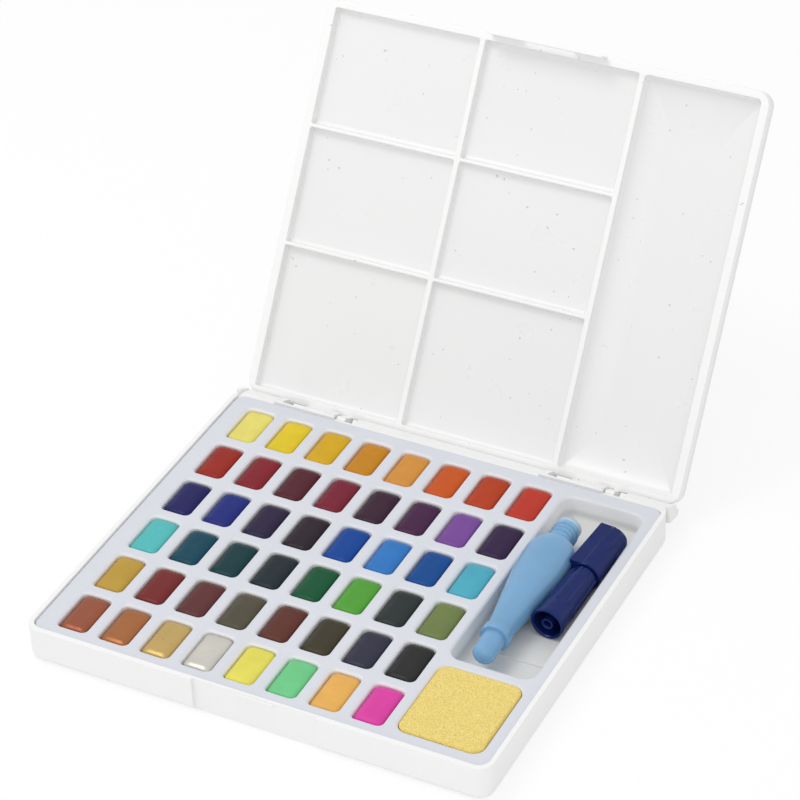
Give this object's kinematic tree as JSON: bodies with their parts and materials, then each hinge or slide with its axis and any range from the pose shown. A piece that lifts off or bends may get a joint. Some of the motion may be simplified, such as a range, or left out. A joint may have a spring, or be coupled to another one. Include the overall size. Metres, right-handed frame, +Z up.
{
  "type": "watercolour paint box",
  "caption": "Hinged plastic paint box with a grid of watercolour cakes in a tray, a mixing-palette lid, a sponge, a water tank and a capped water brush.",
  "frame": {"origin": "centre of the width on the underside of the case, 83.2 mm behind its front face", "axes": "+X to the right along the front edge, +Y back towards the hinge, +Z up"},
  "size_m": [0.19, 0.2638, 0.1504],
  "materials": {
    "white_case": "satin white, fine moulded texture",
    "white_lid": "satin white",
    "lilac_tray": "pale lilac, satin",
    "yellow_sponge": "open-cell foam",
    "tank_blue": "translucent pale blue",
    "navy_grip": "glossy navy",
    "navy_feed": "glossy navy",
    "navy_cap": "glossy navy",
    "bristle": "fine nylon hair",
    "paint_lemon": "satin pressed paint",
    "paint_cadmium_yellow": "satin pressed paint",
    "paint_indian_yellow": "satin pressed paint",
    "paint_ochre_orange": "satin pressed paint",
    "paint_light_orange": "satin pressed paint",
    "paint_vermilion": "satin pressed paint",
    "paint_scarlet": "satin pressed paint",
    "paint_red": "satin pressed paint",
    "paint_bright_red": "satin pressed paint",
    "paint_carmine": "satin pressed paint",
    "paint_maroon": "satin pressed paint",
    "paint_crimson": "satin pressed paint",
    "paint_plum_brown": "satin pressed paint",
    "paint_aubergine": "satin pressed paint",
    "paint_violet": "satin pressed paint",
    "paint_dark_violet": "satin pressed paint",
    "paint_indigo": "satin pressed paint",
    "paint_ultramarine": "satin pressed paint",
    "paint_deep_violet": "satin pressed paint",
    "paint_dark_aubergine": "satin pressed paint",
    "paint_cobalt": "satin pressed paint",
    "paint_sky_blue": "satin pressed paint",
    "paint_phthalo_blue": "satin pressed paint",
    "paint_turquoise": "satin pressed paint",
    "paint_aqua": "satin pressed paint",
    "paint_prussian": "satin pressed paint",
    "paint_dark_teal": "satin pressed paint",
    "paint_slate_green": "satin pressed paint",
    "paint_emerald": "satin pressed paint",
    "paint_grass_green": "satin pressed paint",
    "paint_dark_green": "satin pressed paint",
    "paint_olive": "satin pressed paint",
    "paint_yellow_ochre": "satin pressed paint",
    "paint_burnt_sienna": "satin pressed paint",
    "paint_red_brown": "satin pressed paint",
    "paint_olive_umber": "satin pressed paint",
    "paint_umber": "satin pressed paint",
    "paint_sepia": "satin pressed paint",
    "paint_paynes_grey": "satin pressed paint",
    "paint_black": "satin pressed paint",
    "paint_copper": "metallic pressed paint",
    "paint_bronze": "metallic pressed paint",
    "paint_gold": "metallic pressed paint",
    "paint_pearl": "metallic pressed paint",
    "paint_neon_yellow": "satin pressed paint",
    "paint_neon_green": "satin pressed paint",
    "paint_neon_orange": "satin pressed paint",
    "paint_neon_pink": "satin pressed paint"
  },
  "bodies": {
    "case": {"base_case": "white_case", "insert_tray": "lilac_tray", "cake_lemon": "paint_lemon", "cake_cadmium_yellow": "paint_cadmium_yellow", "cake_indian_yellow": "paint_indian_yellow", "cake_ochre_orange": "paint_ochre_orange", "cake_light_orange": "paint_light_orange", "cake_vermilion": "paint_vermilion", "cake_scarlet": "paint_scarlet", "cake_red": "paint_red", "cake_bright_red": "paint_bright_red", "cake_carmine": "paint_carmine", "cake_maroon": "paint_maroon", "cake_crimson": "paint_crimson", "cake_plum_brown": "paint_plum_brown", "cake_aubergine": "paint_aubergine", "cake_violet": "paint_violet", "cake_dark_violet": "paint_dark_violet", "cake_indigo": "paint_indigo", "cake_ultramarine": "paint_ultramarine", "cake_deep_violet": "paint_deep_violet", "cake_dark_aubergine": "paint_dark_aubergine", "cake_cobalt": "paint_cobalt", "cake_sky_blue": "paint_sky_blue", "cake_phthalo_blue": "paint_phthalo_blue", "cake_turquoise": "paint_turquoise", "cake_aqua": "paint_aqua", "cake_prussian": "paint_prussian", "cake_dark_teal": "paint_dark_teal", "cake_slate_green": "paint_slate_green", "cake_emerald": "paint_emerald", "cake_grass_green": "paint_grass_green", "cake_dark_green": "paint_dark_green", "cake_olive": "paint_olive", "cake_yellow_ochre": "paint_yellow_ochre", "cake_burnt_sienna": "paint_burnt_sienna", "cake_red_brown": "paint_red_brown", "cake_olive_umber": "paint_olive_umber", "cake_umber": "paint_umber", "cake_sepia": "paint_sepia", "cake_paynes_grey": "paint_paynes_grey", "cake_black": "paint_black", "cake_copper": "paint_copper", "cake_bronze": "paint_bronze", "cake_gold": "paint_gold", "cake_pearl": "paint_pearl", "cake_neon_yellow": "paint_neon_yellow", "cake_neon_green": "paint_neon_green", "cake_neon_orange": "paint_neon_orange", "cake_neon_pink": "paint_neon_pink"},
    "lid": {"lid_palette": "white_lid"},
    "sponge": {"sponge": "yellow_sponge"},
    "tank": {"water_tank": "tank_blue"},
    "cap": {"brush_cap": "navy_cap"},
    "brush": {"brush_grip": "navy_grip", "brush_feed": "navy_feed", "bristle_tuft": "bristle"}
  },
  "joints": [
    {"name": "lid_hinge", "type": "hinge", "parent": "case", "child": "lid", "pos_m": [0, 0.0815, 0.0109], "axis": [-1, 0, 0], "range_deg": [-122.85, 0]},
    {"name": "sponge_lift", "type": "slide", "parent": "case", "child": "sponge", "axis": [0, 0, 1], "range_m": [0, 0.025]},
    {"name": "tank_lift", "type": "slide", "parent": "case", "child": "tank", "axis": [0, 0, 1], "range_m": [0, 0.04]},
    {"name": "brush_lift", "type": "slide", "parent": "case", "child": "cap", "axis": [0, 0, 1], "range_m": [0, 0.04]},
    {"name": "brush_head_pull", "type": "slide", "parent": "cap", "child": "brush", "axis": [-0.0436, -0.999, 0], "range_m": [0, 0.026]}
  ]
}
